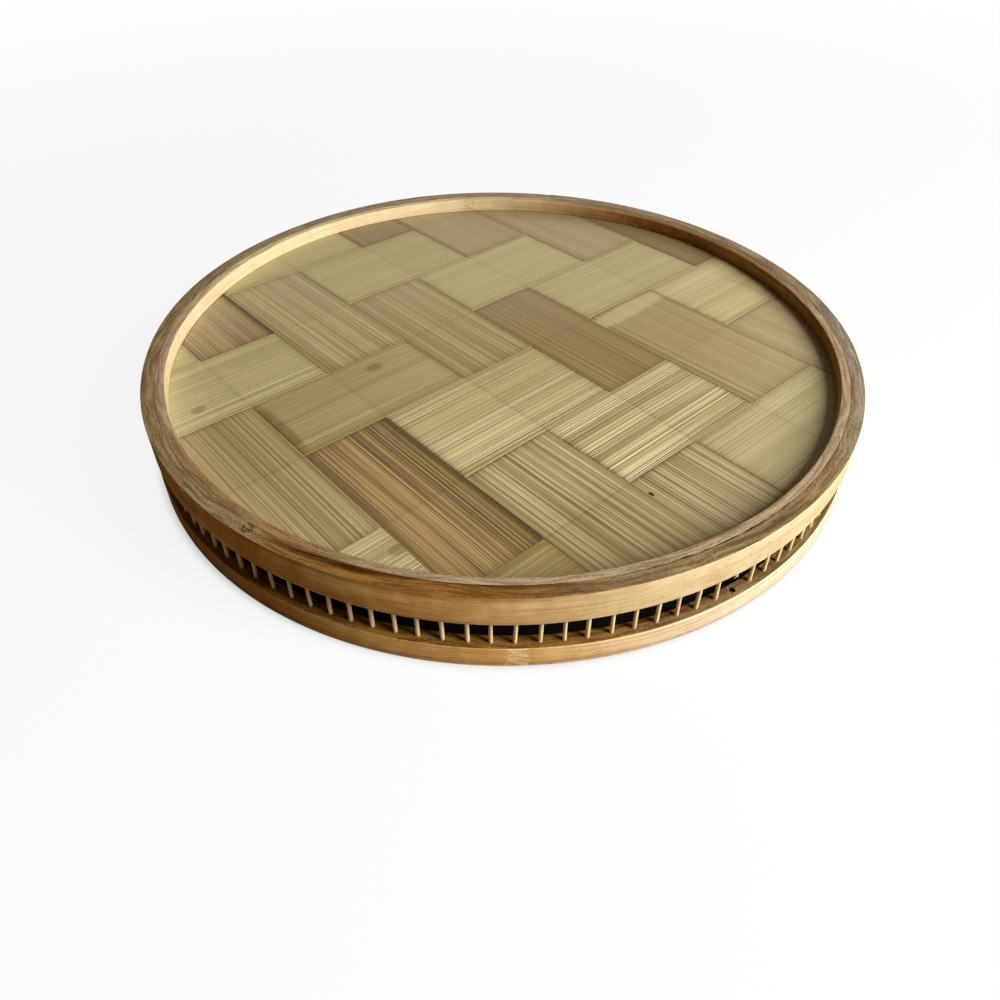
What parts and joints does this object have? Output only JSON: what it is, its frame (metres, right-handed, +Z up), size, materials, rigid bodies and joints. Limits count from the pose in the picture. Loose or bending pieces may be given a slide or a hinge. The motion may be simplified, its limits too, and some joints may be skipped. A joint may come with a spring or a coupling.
{
  "type": "bamboo tray",
  "caption": "Round shallow bamboo tray: a floor of wide interlaced strips held between bent hoops, raised on a ring of slim pins and a foot ring.",
  "frame": {"origin": "on the tray's axis, at the underside of the foot ring", "axes": "+Z up along the tray's axis; the front of the picture is at -Y"},
  "size_m": [0.3, 0.3, 0.0344],
  "materials": {
    "band": "satin varnished bamboo",
    "lining": "satin varnished bamboo",
    "foot": "satin varnished bamboo",
    "pin": "bare pale bamboo",
    "pale_strip": "satin lacquered split bamboo",
    "toasted_strip": "satin lacquered browner split bamboo"
  },
  "bodies": {
    "root": {"foot_ring": "foot", "broken_pin_stub": "pin", "outer_hoop": "band", "bearer_hoop": "lining", "inner_hoop": "lining", "warp_strip_1": "pale_strip", "warp_strip_2": "toasted_strip", "warp_strip_3": "pale_strip", "warp_strip_4": "pale_strip", "warp_strip_5": "toasted_strip", "warp_strip_6": "pale_strip", "warp_strip_7": "pale_strip", "warp_strip_8": "toasted_strip", "weft_strip_1": "pale_strip", "weft_strip_2": "pale_strip", "weft_strip_3": "pale_strip", "weft_strip_4": "pale_strip", "weft_strip_5": "pale_strip", "weft_strip_6": "pale_strip", "weft_strip_7": "pale_strip"}
  },
  "joints": []
}
